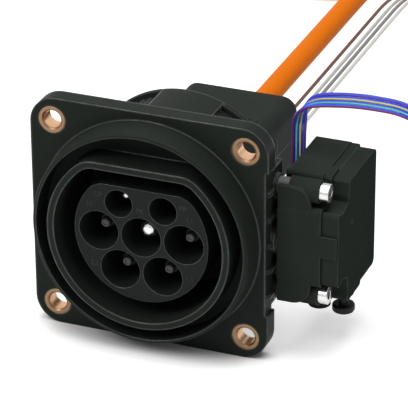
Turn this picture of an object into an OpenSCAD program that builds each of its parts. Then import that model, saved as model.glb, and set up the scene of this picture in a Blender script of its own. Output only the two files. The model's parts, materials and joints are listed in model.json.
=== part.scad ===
// Vehicle charge port inlet with seven contacts, rear cable cap and side locking actuator.
// Frame: origin at the centre of the flange's front face, -Y towards the plug, +Z up.

/* [Flange] */
// Width and height of the square flange
flange_size = 80; // [78:1:92]
// Thickness of the flange
flange_t = 6; // [5:0.5:7]
// Radius of the flange's corners
flange_corner_r = 9; // [6:0.5:11]
// Distance of the mounting holes from the flange's edges
hole_edge = 7.5; // [6.5:0.1:8.5]
// Bore of the mounting bushes
bush_bore = 6; // [5:0.1:6.6]
// Outer diameter of the mounting bushes
bush_od = 9; // [8:0.1:10]
// Depth of the relief in the edge beside the actuator
relief_depth = 1; // [0.5:0.1:1.5]

/* [Collar and shroud] */
// Distance of the collar from the flange's edges
collar_edge = 2.8; // [2:0.1:3.4]
// How much the collar narrows towards its rim
collar_draft = 0.9; // [0:0.1:1.4]
// Width of the collar's rim
collar_rim_w = 1.3; // [1:0.1:2]
// Height of the collar in front of the flange
collar_h = 9; // [8:0.5:12]
// Height of the shroud in front of the flange
shroud_h = 10; // [9:0.5:13]
// Outer radius of the D-shaped shroud
shroud_r = 30.8; // [30.4:0.1:31.2]
// Height of the shroud's flat above the axis
shroud_flat = 25.3; // [25:0.1:25.8]
// Radius of the shroud's two corners
shroud_corner = 9; // [8:0.5:10]
// Wall of the shroud
shroud_wall = 2.3; // [2:0.1:2.5]
// Depth of the plug space behind the shroud's rim
socket_depth = 30; // [28:1:36]

/* [Contacts] */
// Radius of the contact carrier
carrier_r = 22.6; // [22.2:0.1:23]
// Height of the carrier's flat above the axis
carrier_flat = 16.6; // [16.2:0.1:17]
// Radius of the carrier's two corners
carrier_corner = 7.5; // [6:0.5:8.5]
// How far the carrier's face lies behind the shroud's rim
carrier_recess = 3.4; // [2:0.2:5]
// Radius of the five large sockets
power_socket_r = 6.7; // [6.3:0.1:6.9]
// Radius of the two small sockets
signal_socket_r = 4.7; // [4.2:0.1:4.9]
// Distance between the large sockets
power_pitch = 14.4; // [14:0.1:15]
// Diameter of the power and earth pins
power_pin_d = 6; // [5.6:0.1:6.4]
// Diameter of the pilot and proximity pins
signal_pin_d = 3; // [2.8:0.1:3.4]
// How far the earth pin's tip lies behind the carrier's face
earth_tip_depth = 5; // [4:0.1:6]

/* [Rear body and cap] */
// Width of the carrier's rear rim, with its seal and screws
carrier_rim = 6.9; // [6.4:0.1:8]
// Wall of the round body behind the flange
body_wall = 2.8; // [2.2:0.1:3.2]
// How far the cap's round lip stands out over the body
lip_edge = 1.7; // [1:0.1:2]
// Width of the cap's tail
cap_w = 40; // [38:0.5:46]
// Height of the cap's tail
cap_h = 27; // [25:0.5:30]
// Radius of the tail's edges
cap_corner = 5; // [3.5:0.5:7]
// Wall of the cap
cap_wall = 2; // [1.6:0.1:2.4]
// Length of the tail behind the lip
tail_len = 48; // [44:1:60]

/* [Actuator] */
// Width of the actuator, along X
act_w = 20; // [19.5:0.1:23]
// Width of the actuator's cover, along X
cover_w = 5.7; // [5.6:0.1:6]
// Half height of the block around the lock bolt
block_half = 13.8; // [13.4:0.1:14]
// Height of the actuator's box above the axis
act_top = 21; // [20.8:0.1:24]
// Depth of the actuator's box below the axis
act_bottom = 23; // [22.8:0.1:25]
// Depth of the actuator, front to rear
act_depth = 37.5; // [37.3:0.1:42]
// Wall of the actuator's housing
act_wall = 1.6; // [1.4:0.1:1.8]
// Height of the two fixing screws above and below the axis
screw_offset = 17.85; // [17.6:0.05:18.2]
// Diameter of the fixing screws' heads
screw_head_d = 6; // [5.4:0.1:6.4]

/* [Lock drive] */
// Diameter of the lock bolt
bolt_d = 6; // [5:0.1:6.4]
// Travel of the lock bolt
bolt_travel = 6; // [4:0.25:6]
// Distance of the lock bolt behind the flange's front
bolt_y = 10; // [9.8:0.1:10.4]
// Module of all gear teeth
gear_module = 0.6; // [0.56:0.01:0.61]
// Diameter of the motor
motor_d = 12; // [10:0.2:12.4]
// Diameter of the release knob
knob_d = 7.4; // [6.6:0.1:8.4]

/* [Cable exits] */
// Diameter of the main cable
cable_d = 8; // [6:0.1:9]
// Diameter of the signal wires
wire_d = 1.3; // [1:0.1:1.6]
// Diameter of the actuator leads
lead_d = 1.2; // [1:0.05:1.5]

/* [Hidden] */
$fn = 96;

// Clearances: running fits, fixed inserts and screw holes
run_gap = 0.05;
seat_gap = 0.1;
hole_gap = 0.15;

// Levels along Y, from the front
floor_y = socket_depth - shroud_h;
floor_t = 4;
base_y = floor_y + floor_t;
base_t = 3;
retainer_y = base_y + base_t;
retainer_t = 4;
gasket_t = 0.5;
lip_y = retainer_y + retainer_t;
body_end = lip_y - gasket_t;
lip_t = 2;
tail_y = lip_y + lip_t;
tail_end = tail_y + tail_len;
face_y = carrier_recess - shroud_h;

// Flange's relief, collar and rear recess
relief_z = [-24, 26];
edge_wall_t = 2.5;
edge_wall_depth = 9;
edge_wall_end = 1.5;
gusset_y = [1, 2.2, flange_t + 2];
hole_spacing = flange_size - 2 * hole_edge;
collar_base_r = flange_size / 2 - collar_edge;
collar_rim_r = collar_base_r - collar_draft;
collar_in_r = collar_rim_r - collar_rim_w;
rim_round = 0.9;
recess_r = carrier_r + carrier_rim;
body_r = recess_r + body_wall;
lip_r = body_r + lip_edge;
seal_in_r = carrier_r + 0.7;
seal_out_r = seal_in_r + 1.6;
seal_h = 1;

// Key on top of the body, in degrees from +X
key_from = 68;
key_to = 104;
// Ribs along the body, in degrees from +X
rib_angles = [for (a = [110:5:150]) a];
rib_h = 0.5;
rib_w = 1.4;

// Screws through lip, retainer and carrier
body_screw_r = 1.4;
body_screw_at = (seal_out_r + recess_r) / 2;
body_screw_head = [2.6, 2];
body_screw_points = [for (a = [45, 135, 225, 315]) body_screw_at * [cos(a), sin(a)]];

// Contacts
power_points = [[-power_pitch, 0], [power_pitch, 0],
    power_pitch * [-0.5, -sin(60)], power_pitch * [0.5, -sin(60)]];
pilot_point = [-7.5, 10.5];
proximity_point = [7.5, 10.5];
socket_end = floor_y + 1;
power_pin_r = power_pin_d / 2;
signal_pin_r = signal_pin_d / 2;
pin_shoulder = 1.5;
earth_tip = face_y + earth_tip_depth;
power_tip = earth_tip + 2.3;
guard_r = 1.45;
guard_len = 2.6;
pilot_tip = earth_tip + 0.6;
proximity_tip = earth_tip + 4;

// Rear cap, with ridges on its upper half
cap_ridge_r = 0.8;
cap_ridge_x = [for (x = [-1, 1], k = [0:2]) x * (cap_w / 2 - cap_corner - 1 - 3 * k)];
cap_ridge_end = lip_y + tail_len * 0.6;
cap_screw_points = [for (x = [-1, 1], y = [7, 35]) [x * (cap_w / 2 - 5.8), tail_y + y]];
cap_screw_r = 1.25;
cap_boss_r = 3;
gland_hole_r = 6;
gland_len = 14;
gland_rim = 1.5;
grommet_rim = 1.1;
grommet_ends = [gland_hole_r + gland_rim + 0.5, cap_w / 2 - cap_wall + 0.4];
grommet_x = (grommet_ends[0] + grommet_ends[1]) / 2;
grommet_size = [grommet_ends[1] - grommet_ends[0] - 2 * grommet_rim, 9];
gland_end = tail_end + gland_len;
grommet_end = tail_end + 1.5;

// Actuator outline, in Y and Z
act_x = flange_size / 2 + 1;
act_end = act_x + act_w;
split_x = act_end - cover_w;
act_front = bolt_y - 5;
act_back = act_front + act_depth;
box_front = bolt_y + 4.5;
step_y = act_front + 24;
step_h = 1.3;
driver_r = 5.2;
cover_inset = 0.8;
cover_wall = 1.2;
ear_r = 3.8;
ear_x = act_x + 3;
screw_r = 1.5;
sleeve_r = 3;
head_x = act_x + 12.8;
head_h = 3;
socket_key = 2.5;
web_top = screw_offset + 2.4;
web_flat = 4.8;
web_round = 6;
top_bead_at = [box_front + 0.7, act_top - 1];
top_bead_r = 1.5;
top_bead_end = split_x - 2.6;
boss_end = act_x - 1;
seal_x = act_x - 0.7;
tab_z = [-2.4, 4.9];
lead_exit_z = 8.5;
lead_exit_size = [4, 6];
lead_exit_rim = 1.5;
lead_exit_corner = 1;
lip_gap = 0.7;

// Lock drive, from the bolt's axis rearwards
bolt_r = bolt_d / 2;
bolt_tip = shroud_r - 1.6;
carriage = [act_x + 8.5, act_x + 13.5];
arm_h = 4.4;
spindle_y = bolt_y + 13;
spindle_r = 2;
nut_r = 3.5;
spindle_teeth = 24;
pinion_teeth = 12;
idler_teeth = 12;
knob_teeth = 8;
pressure_angle = 25;
addendum = 0.7 * gear_module;
dedendum = 0.95 * gear_module;
backlash = 0.2;
gear_x = [split_x + 0.7, split_x + 3.1];
motor_y = spindle_y + pitch_r(spindle_teeth) + pitch_r(pinion_teeth);
motor_r = motor_d / 2;
motor_x = [act_x + act_wall, carriage[1]];
shaft_r = 1;
release_z = [-11, -8.6];
knob_x = act_end - 4.6;
knob_y = bolt_y + 15.5;
idler_y = spindle_y;
idler_x = knob_x - sqrt(pow(pitch_r(idler_teeth) + pitch_r(knob_teeth), 2) - pow(knob_y - idler_y, 2));
idler_pin_r = 1;
rack_y = idler_y - pitch_r(idler_teeth);
rack_x = [idler_x - 1.5, idler_x + bolt_travel + 1.5];
knob_shaft_r = 1.6;
knob_z = [-31.2, -28.6];
knob_boss = [3.2, 2];
vent_at = [knob_x - 7.9, knob_y - 0.7];
vent_neck_r = 2.4;
vent_disc = [3.6, 1.6];
vent_end = -act_bottom - 7;
gate_at = [bolt_y + 8, 5];
gate_mark = [0.7, 0.3];
board_z = 14;
board_t = 1.6;

// Cords: floor level, coil centres and hand-chosen routes
ground = -40;
cable_coil_c = [-50, 330];
cable_coil_r = [27, 54.2];
cable_coil_z = ground + 0.8;
signal_coil_c = [24, 318];
signal_coil_r = [3.2, 11.8];
signal_coil_z = ground + 0.8;
lead_coil_c = [104, 43.2];
lead_coil_r = [3.9, 10];
lead_coil_z = ground + 0.8;
tie_w = 2;
tie_t = 0.7;

// Main cable: [y, z], straight behind the gland and then down to the floor
cable_route = [
    [95, 0], [120, 0], [145, 0], [170, 0], [195, 0], [218, -0.6], [236, -3.6], [252, -8.8], [266, -15],
    [280, -21.8], [294, -28], [306, -32.2], [318, -34.6], [330, -35.2]
];
// Signal wires: [y, z, share of the way to the coil]
signal_route = [
    [82.5, -3, 0], [100, -3, 0], [118, -3, 0], [136, -3, 0], [154, -3, 0], [172, -3, 0], [190, -3, 0],
    [207, -3.4, 0], [223, -6, 0.05], [239, -11.6, 0.2], [255, -18.8, 0.4], [271, -25.8, 0.6], [287, -31.8, 0.8],
    [302, -35.4, 0.95], [318, -36.4, 1]
];
signal_x = [9.8, 12.8, 15, 17.2];
signal_coil_x = 13;
signal_pitch = wire_d + 0.1;
// Actuator leads: [x, z] of the middle of the flat group
lead_route = [
    [37.6, 13], [37.6, 19], [37.6, 25], [38, 30], [39.6, 34.2], [43, 36.6], [48, 37.8], [55, 38.7], [63, 39],
    [71.5, 38.4], [79, 35.4], [85, 29.8], [88.6, 22], [90, 11], [90, -2], [90.4, -16], [92.4, -29.2], [97, -35],
    [104, -36.6]
];
lead_y = 34;
lead_pitch = lead_d + 0.1;

function pitch_r(teeth) = gear_module * teeth / 2;
function unit(v) = v / norm(v);
function tangent(p, i) = unit(p[min(i + 1, len(p) - 1)] - p[max(i - 1, 0)]);
function arc(cx, cy, r, a0, a1, n) =
    [for (i = [0:n]) [cx + r * cos(a0 + (a1 - a0) * i / n), cy + r * sin(a0 + (a1 - a0) * i / n)]];

// Route of signal wire i, drawn together over the way to its layer of the coil
function signal_wire(i) = [for (p = signal_route)
    let (layer = (i - 1.5) * signal_pitch * min(1, 2 * p[2]))
    [signal_x[i] * (1 - p[2]) + signal_coil_x * p[2], p[0], p[1] + layer]];

// Route of actuator lead i, at its place across the flat group
function lead_wire(i) = [for (k = [0:len(lead_route) - 1])
    let (t = tangent(lead_route, k), p = lead_route[k] + (i - 1.5) * lead_pitch * [-t[1], t[0]])
    [p[0], lead_y, p[1]]];

// Every second point of a route with an odd number of them
function thinned(p) = [for (i = [0:2:len(p) - 1]) p[i]];

// Places a flat shape, drawn in X and Z, between two levels of Y
module along_y(y0, y1) { translate([0, y1, 0]) rotate([90, 0, 0]) linear_extrude(y1 - y0) children(); }

// Places a flat shape, drawn in Y and Z, between two levels of X
module along_x(x0, x1) { translate([x0, 0, 0]) rotate([90, 0, 90]) linear_extrude(x1 - x0) children(); }

module along_z(z0, z1) { translate([0, 0, z0]) linear_extrude(z1 - z0) children(); }

// Round bars along each axis
module rod_x(y, z, r, x0, x1) { translate([x0, y, z]) rotate([0, 90, 0]) cylinder(r = r, h = x1 - x0); }
module rod_y(x, z, r, y0, y1) { translate([x, y0, z]) rotate([-90, 0, 0]) cylinder(r = r, h = y1 - y0); }
module rod_z(x, y, r, z0, z1) { translate([x, y, z0]) cylinder(r = r, h = z1 - z0); }

// Turned shapes: the profile is radius and distance along the axis
module turned_x(y, z) { translate([0, y, z]) rotate([0, 90, 0]) rotate_extrude() children(); }
module turned_y(x, z) { translate([x, 0, z]) rotate([-90, 0, 0]) rotate_extrude() children(); }

module rounded_rect(w, h, r) {
    square([w - 2 * r, h], center = true);
    square([w, h - 2 * r], center = true);
    for (x = [-1, 1], y = [-1, 1]) translate([x * (w / 2 - r), y * (h / 2 - r)]) circle(r);
}

// Rounded rectangle given by its low and high corners
module rounded_span(low, high, r) {
    translate((low + high) / 2) rounded_rect(high[0] - low[0], high[1] - low[1], r);
}

// Circle with a flat top and rounded corners
module d_shape(r, flat, corner) {
    cx = sqrt(pow(r - corner, 2) - pow(flat - corner, 2));
    meet = r * (flat - corner) / (r - corner);
    intersection() {
        circle(r);
        translate([-r, -r]) square([2 * r, r + meet]);
    }
    for (x = [-1, 1]) translate([x * cx, flat - corner]) circle(corner);
    translate([-cx, 0]) square([2 * cx, flat]);
}

// Sector of a ring, in degrees from the first axis
module ring_sector(r0, r1, from, to) {
    reach = 2 * r1;
    rays = [for (a = [from, (from + to) / 2, to]) polar(reach, a)];
    difference() {
        intersection() {
            circle(r1);
            polygon(concat([[0, 0]], rays));
        }
        circle(r0);
    }
}

// Involute spur gear, with a tooth at the given angle
module gear_shape(teeth, at) {
    rp = pitch_r(teeth);
    rb = rp * cos(pressure_angle);
    root = rp - dedendum;
    low = max(rb, root);
    tip = rp + addendum;
    half = 90 / teeth - backlash / 4 / rp * 180 / PI;
    steps = 4;
    flank = [for (i = [0:steps]) let (r = low + (tip - low) * i / steps)
        [r, half + involute(pressure_angle) - involute(acos(min(1, rb / r)))]];
    tooth = concat([[root, flank[0][1]]], flank);
    outline = [for (k = [0:teeth - 1]) each concat(
        [for (i = [0:len(tooth) - 1]) polar(tooth[i][0], at + 360 * k / teeth - tooth[i][1])],
        [for (i = [len(tooth) - 1:-1:0]) polar(tooth[i][0], at + 360 * k / teeth + tooth[i][1])])];
    polygon(outline);
}
function involute(a) = tan(a) * 180 / PI - a;
function polar(r, a) = [r * cos(a), r * sin(a)];

// Teeth of the rack: pointing to +Y, with a gap centred on the idler's axis
module rack_shape() {
    pitch = PI * gear_module;
    half = pitch / 4 - backlash / 4;
    lean = tan(pressure_angle);
    root_y = rack_y - dedendum;
    tip_y = rack_y + addendum;
    translate([rack_x[0], root_y - 2]) square([rack_x[1] - rack_x[0], 2]);
    intersection() {
        for (k = [-1:ceil((rack_x[1] - idler_x) / pitch)])
            translate([idler_x + (k + 0.5) * pitch, 0])
                polygon([[-half - dedendum * lean, root_y], [half + dedendum * lean, root_y],
                    [half - addendum * lean, tip_y], [-half + addendum * lean, tip_y]]);
        translate([rack_x[0], root_y]) square([rack_x[1] - rack_x[0], tip_y - root_y]);
    }
}

// Tube swept along a route, with its sides set out from a fixed direction
module swept_tube(route, r, sides, across) {
    n = len(route);
    points = [for (i = [0:n - 1])
        let (t = tangent(route, i), u = unit(across - (across * t) * t), v = cross(t, u))
        for (k = [0:sides - 1]) route[i] + r * (cos(360 * k / sides) * u + sin(360 * k / sides) * v)];
    walls = [for (i = [0:n - 2], k = [0:sides - 1]) let (a = i * sides + k, b = i * sides + (k + 1) % sides)
        each [[a, a + sides, b], [b, a + sides, b + sides]]];
    ends = [[for (k = [0:sides - 1]) k], [for (k = [sides - 1:-1:0]) (n - 1) * sides + k]];
    polyhedron(points, concat(walls, ends), convexity = 6);
}

// Flange, collar, shroud and round body

module flange_outline() {
    difference() {
        rounded_rect(flange_size, flange_size, flange_corner_r);
        translate([flange_size / 2 - relief_depth, relief_z[0]])
            square([relief_depth + 1, relief_z[1] - relief_z[0]]);
    }
}

module collar_ring() {
    rim = -collar_h;
    turned_y(0, 0) polygon(concat(
        [[collar_in_r, 1], [collar_base_r, 1], [collar_base_r, 0]],
        arc(collar_rim_r - rim_round, rim + rim_round, rim_round, 0, -90, 5),
        [[collar_in_r, rim]]));
}

// Wall behind the flange's relief, with gussets, beside the actuator
module edge_gussets() {
    reach = flange_size / 2;
    face = reach - relief_depth;
    inner = body_r - 4;
    rear = flange_t + edge_wall_depth;
    along_z(relief_z[0] + edge_wall_end, relief_z[1] - edge_wall_end)
        translate([face - edge_wall_t, flange_t - 1]) square([edge_wall_t, edge_wall_depth + 1]);
    for (k = [-2:2])
        translate([0, 0, k * screw_offset / 2 - rib_w / 2])
            linear_extrude(rib_w)
                polygon([[inner, flange_t - 1], [face - 1, gusset_y[0]], [face, gusset_y[0]], [reach, gusset_y[1]],
                    [reach, gusset_y[2]], [face, rear], [inner, rear]]);
}

module body_ribs() {
    for (a = rib_angles)
        rotate([0, -a, 0]) translate([body_r - 1, flange_t - 1, -rib_w / 2])
            cube([1 + rib_h, body_end - flange_t, rib_w]);
}

module inlet_housing() {
    color("#1c1d1f") difference() {
        union() {
            along_y(0, flange_t) flange_outline();
            collar_ring();
            along_y(-shroud_h, floor_y) d_shape(shroud_r, shroud_flat, shroud_corner);
            along_y(flange_t - 1, body_end) circle(body_r);
            along_y(flange_t - 1, tail_y) ring_sector(body_r - 1, lip_r, key_from, key_to);
            body_ribs();
            edge_gussets();
            for (z = [-1, 1] * screw_offset) rod_x(bolt_y, z, ear_r, body_r - 9, boss_end);
            rod_x(bolt_y, 0, bolt_r + 2.5, body_r - 3, seal_x);
        }
        along_y(-shroud_h - 1, floor_y)
            d_shape(shroud_r - shroud_wall, shroud_flat - shroud_wall, shroud_corner - shroud_wall);
        along_y(floor_y - 1, base_y + 1)
            d_shape(carrier_r + seat_gap, carrier_flat + seat_gap, carrier_corner + seat_gap);
        along_y(base_y, body_end + 1) circle(recess_r);
        along_y(body_end, tail_y + 1) circle(body_r + run_gap);
        along_y(base_y - seal_h, base_y + 1) difference() {
            circle(seal_out_r + run_gap);
            circle(seal_in_r - run_gap);
        }
        for (x = [-1, 1], z = [-1, 1])
            rod_y(x * hole_spacing / 2, z * hole_spacing / 2, bush_od / 2, -1, flange_t + 1);
        for (p = body_screw_points) rod_y(p[0], p[1], body_screw_r + run_gap, floor_y + 0.8, base_y + 1);
        for (z = [-1, 1] * screw_offset) rod_x(bolt_y, z, screw_r + run_gap, body_r - 4.5, boss_end + 1);
        rod_x(bolt_y, 0, bolt_r + run_gap, carrier_r + 2, seal_x + 1);
    }
}

module mounting_bushes() {
    r0 = bush_bore / 2;
    r1 = bush_od / 2;
    edge = 0.5;
    color("#c08a4e") for (x = [-1, 1], z = [-1, 1])
        turned_y(x * hole_spacing / 2, z * hole_spacing / 2)
            polygon([[r0 + edge, 0], [r1, 0], [r1, flange_t], [r0 + edge, flange_t], [r0, flange_t - edge],
                [r0, edge]]);
}

// Contacts and what holds them

module contact_carrier() {
    color("#232427") difference() {
        union() {
            along_y(face_y, base_y) d_shape(carrier_r, carrier_flat, carrier_corner);
            along_y(base_y, retainer_y) circle(recess_r - hole_gap);
        }
        for (p = concat([[0, 0]], power_points)) {
            rod_y(p[0], p[1], power_socket_r, face_y - 1, socket_end);
            rod_y(p[0], p[1], power_pin_r + run_gap, socket_end - 1, retainer_y + 1);
            rod_y(p[0], p[1], power_pin_r + 1.2 + run_gap, retainer_y - pin_shoulder, retainer_y + 1);
        }
        for (p = [pilot_point, proximity_point]) {
            rod_y(p[0], p[1], signal_socket_r, face_y - 1, socket_end);
            rod_y(p[0], p[1], signal_pin_r + run_gap, socket_end - 1, retainer_y + 1);
            rod_y(p[0], p[1], signal_pin_r + 1.1 + run_gap, retainer_y - pin_shoulder, retainer_y + 1);
        }
        for (p = body_screw_points) rod_y(p[0], p[1], body_screw_r + hole_gap, base_y - 1, retainer_y + 1);
    }
}

// Turned contact: round nose, shoulder and hollow crimp barrel
module contact_pin(p, r, shoulder, barrel, tip, nose) {
    bore = barrel - 0.9;
    barrel_end = lip_y - hole_gap;
    turned_y(p[0], p[1]) polygon(concat(
        [[0, tip]],
        [for (q = arc(r - nose, tip + nose, nose, -90, 0, 5)) q],
        [[r, retainer_y - pin_shoulder], [r + shoulder, retainer_y - pin_shoulder], [r + shoulder, retainer_y],
            [barrel, retainer_y], [barrel, barrel_end], [bore, barrel_end], [bore, base_y], [0, base_y]]));
}

module power_pins() {
    color("#c9ccd0") for (p = power_points) difference() {
        contact_pin(p, power_pin_r, 1.2, power_pin_r + 1, power_tip, 1.2);
        rod_y(p[0], p[1], guard_r, power_tip - 1, power_tip + guard_len);
    }
}

// Insulating pegs in the noses of the power pins
module touch_guards() {
    front = power_tip - 2.2;
    back = power_tip + guard_len;
    edge = 0.3;
    dimple = 0.4;
    color("#8f9296") for (p = power_points) turned_y(p[0], p[1])
        polygon([[0, front + dimple], [0.55, front + dimple], [0.75, front], [guard_r - edge, front],
            [guard_r, front + edge], [guard_r, back], [0, back]]);
}

module earth_pin() {
    color("#e2e4e6") contact_pin([0, 0], power_pin_r, 1.2, power_pin_r + 1, earth_tip, power_pin_r - 0.6);
}

module pilot_pin() {
    color("#d8dadd")
        contact_pin(pilot_point, signal_pin_r, 1.1, signal_pin_r + 0.6, pilot_tip, signal_pin_r - 0.3);
}

module proximity_pin() {
    color("#d8dadd")
        contact_pin(proximity_point, signal_pin_r, 1.1, signal_pin_r + 0.6, proximity_tip, signal_pin_r - 0.3);
}

module contact_retainer() {
    color("#3a3c40") along_y(retainer_y, lip_y) difference() {
        circle(recess_r - hole_gap);
        for (p = concat([[0, 0]], power_points)) translate(p) circle(power_pin_r + 1 + hole_gap);
        for (p = [pilot_point, proximity_point]) translate(p) circle(signal_pin_r + 0.6 + hole_gap);
        for (p = body_screw_points) translate(p) circle(body_screw_r + hole_gap);
    }
}

module body_screws() {
    color("#b9bcc0") for (p = body_screw_points) difference() {
        union() {
            rod_y(p[0], p[1], body_screw_r, floor_y + 1, tail_y + 0.5);
            rod_y(p[0], p[1], body_screw_head[0], tail_y, tail_y + body_screw_head[1]);
        }
        along_y(tail_y + 0.8, tail_y + body_screw_head[1] + 1) translate(p) circle(1.3, $fn = 6);
    }
}

module carrier_seal() {
    color("#2b2d2c") along_y(base_y - seal_h, base_y) difference() {
        circle(seal_out_r);
        circle(seal_in_r);
    }
}

module body_gasket() {
    color("#2b2d2c") along_y(body_end, lip_y) difference() {
        circle(body_r - 0.1);
        circle(recess_r + 0.1);
    }
}

// Rear cap: two half shells, parted at the cable's axis

module cap_shell() {
    inner_w = cap_w - 2 * cap_wall;
    inner_h = cap_h - 2 * cap_wall;
    inner_corner = cap_corner - cap_wall;
    difference() {
        union() {
            along_y(lip_y, tail_y) difference() {
                circle(lip_r);
                ring_sector(body_r - 1 - hole_gap, lip_r + 1, key_from - 0.5, key_to + 0.5);
            }
            along_y(lip_y, tail_end) rounded_rect(cap_w, cap_h, cap_corner);
            along_y(lip_y, cap_ridge_end) rounded_rect(cap_w + 2, cap_h - 2 * cap_corner, 2);
            for (x = cap_ridge_x) rod_y(x, cap_h / 2, cap_ridge_r, lip_y, cap_ridge_end);
        }
        difference() {
            along_y(lip_y - 1, tail_end - cap_wall) rounded_rect(inner_w, inner_h, inner_corner);
            for (p = cap_screw_points) rod_z(p[0], p[1], cap_boss_r, -cap_h, cap_h);
        }
        rod_y(0, 0, gland_hole_r, tail_end - cap_wall - 1, tail_end + 1);
        along_y(tail_end - cap_wall - 1, tail_end + 1)
            translate([grommet_x, 0]) rounded_rect(grommet_size[0], grommet_size[1], 2);
        for (p = body_screw_points) rod_y(p[0], p[1], body_screw_r + hole_gap, lip_y - 1, tail_y + 1);
        for (p = cap_screw_points) {
            rod_z(p[0], p[1], cap_screw_r + run_gap, -cap_h, cap_h / 2 - 4);
            rod_z(p[0], p[1], 2.8, -cap_h, 2.2 - cap_h / 2);
        }
    }
}

module cap_upper() {
    color("#1f2022") intersection() {
        cap_shell();
        translate([-lip_r - 1, lip_y - 1, 0]) cube([2 * lip_r + 2, tail_end - lip_y + 2, lip_r + 1]);
    }
}

module cap_lower() {
    color("#1f2022") intersection() {
        cap_shell();
        translate([-lip_r - 1, lip_y - 1, -lip_r - 1]) cube([2 * lip_r + 2, tail_end - lip_y + 2, lip_r + 1]);
    }
}

module cap_screws() {
    seat = 2.2 - cap_h / 2;
    color("#b9bcc0") for (p = cap_screw_points) difference() {
        union() {
            rod_z(p[0], p[1], cap_screw_r, seat - 0.5, cap_h / 2 - 5);
            rod_z(p[0], p[1], 2.6, seat - 1.8, seat);
        }
        along_z(seat - 3, seat - 0.8) translate(p) circle(1.3, $fn = 6);
    }
}

// Gland in the rear wall, tapering to the cable
module cable_gland() {
    inside = tail_end - cap_wall;
    color("#222326") turned_y(0, 0)
        polygon([[0, inside - 2], [gland_hole_r + gland_rim, inside - 2], [gland_hole_r + gland_rim, inside],
            [gland_hole_r, inside], [gland_hole_r, tail_end], [gland_hole_r + gland_rim, tail_end],
            [gland_hole_r + gland_rim, tail_end + 3], [cable_d / 2 + 1, gland_end], [0, gland_end]]);
}

module signal_grommet() {
    inside = tail_end - cap_wall;
    color("#222326") translate([grommet_x, 0, 0]) {
        along_y(inside, tail_end) rounded_rect(grommet_size[0], grommet_size[1], 2);
        along_y(tail_end, grommet_end)
            rounded_rect(grommet_size[0] + 2 * grommet_rim, grommet_size[1] + grommet_rim, 2);
        along_y(inside - 1.5, inside)
            rounded_rect(grommet_size[0] + grommet_rim - hole_gap, grommet_size[1] + grommet_rim, 2);
    }
}

// Actuator shells

// Outline of the actuator in Y and Z, drawn in by an even margin
module act_outline(margin) {
    m = [margin, margin];
    difference() {
        union() {
            rounded_span([box_front, step_h - act_bottom] + m, [act_back, act_top] - m, 2);
            rounded_span([box_front, -act_bottom] + m, [step_y, 0] - m, 1.2);
            rounded_span([act_front, -block_half] + m, [box_front + 6, block_half - margin], 2.2 - margin / 2);
        }
        for (z = [-1, 1] * screw_offset) translate([bolt_y, z]) circle(driver_r + margin);
    }
}

// Ears for the two fixing screws, each with its front web
module act_ears() {
    foot = block_half - 2;
    curve = arc(act_x + web_flat, web_top - web_round, web_round, 90, 0, 8);
    web = concat([[act_x, foot], [act_x, web_top]], curve, [[act_x + web_flat + web_round, foot]]);
    for (side = [-1, 1]) {
        z = side * screw_offset;
        rod_x(bolt_y, z, ear_r, ear_x, head_x);
        along_x(ear_x, head_x) translate([bolt_y, z - 1.5]) square([box_front + 2 - bolt_y, 3]);
        along_y(act_front + 0.4, bolt_y - sleeve_r - 0.2)
            polygon([for (q = web) [q[0], side * q[1]]]);
    }
}

// Cradle ribs under the motor, and ledges for the circuit board
module act_inner_ribs() {
    cradle = [split_x - 10, split_x - 4];
    rib_t = 1.5;
    for (x = cradle) along_x(x, x + rib_t) difference() {
        translate([motor_y - 5, step_h - act_bottom + 1]) square([10, act_bottom - step_h - 4]);
        translate([motor_y, 0]) circle(motor_r + run_gap);
    }
    for (y = [[box_front + 6, box_front + 8.5], [act_back - act_wall - 2, act_back - 1]])
        along_x(act_x + 1, split_x - 3) translate([y[0], board_z - 1.5]) square([y[1] - y[0], 1.5]);
}

module actuator_housing() {
    color("#202124") difference() {
        union() {
            difference() {
                union() {
                    along_x(act_x, split_x) act_outline(0);
                    act_ears();
                    rod_x(top_bead_at[0], top_bead_at[1], top_bead_r, act_x, top_bead_end);
                    rod_z(vent_at[0], vent_at[1], vent_neck_r, vent_end, 1 - act_bottom);
                    rod_z(vent_at[0], vent_at[1], vent_disc[0], vent_end, vent_end + vent_disc[1]);
                }
                along_x(act_x + act_wall, split_x + 1) act_outline(act_wall);
            }
            intersection() {
                along_x(act_x, split_x) act_outline(0.5);
                act_inner_ribs();
            }
            rod_z(idler_x, idler_y, 1.8, -act_bottom + 0.5, release_z[0] - 0.3);
            rod_z(idler_x, idler_y, idler_pin_r, release_z[0] - 1, release_z[1] + 0.2);
            translate([split_x, act_front, tab_z[0]])
                translate([-1, 0, 0]) cube([cover_w - 0.4 + 1, cover_inset, tab_z[1] - tab_z[0]]);
        }
        translate([split_x - 2.6, box_front + 7.5, act_top - cover_inset]) cube([4, act_back, 3]);
        for (z = [-1, 1] * screw_offset) rod_x(bolt_y, z, screw_r + hole_gap, act_x - 1, act_end);
        rod_x(bolt_y, 0, bolt_r + run_gap, act_x - 1, act_x + act_wall + 1);
        rod_x(spindle_y, 0, spindle_r + run_gap, act_x + 0.6, act_x + act_wall + 1);
        rod_z(knob_x, knob_y, knob_shaft_r + 0.7, -act_bottom - 1, 5 - act_bottom);
        along_x(act_x - 1, act_x + act_wall + 1) lead_exit_shape(0);
    }
}

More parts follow.
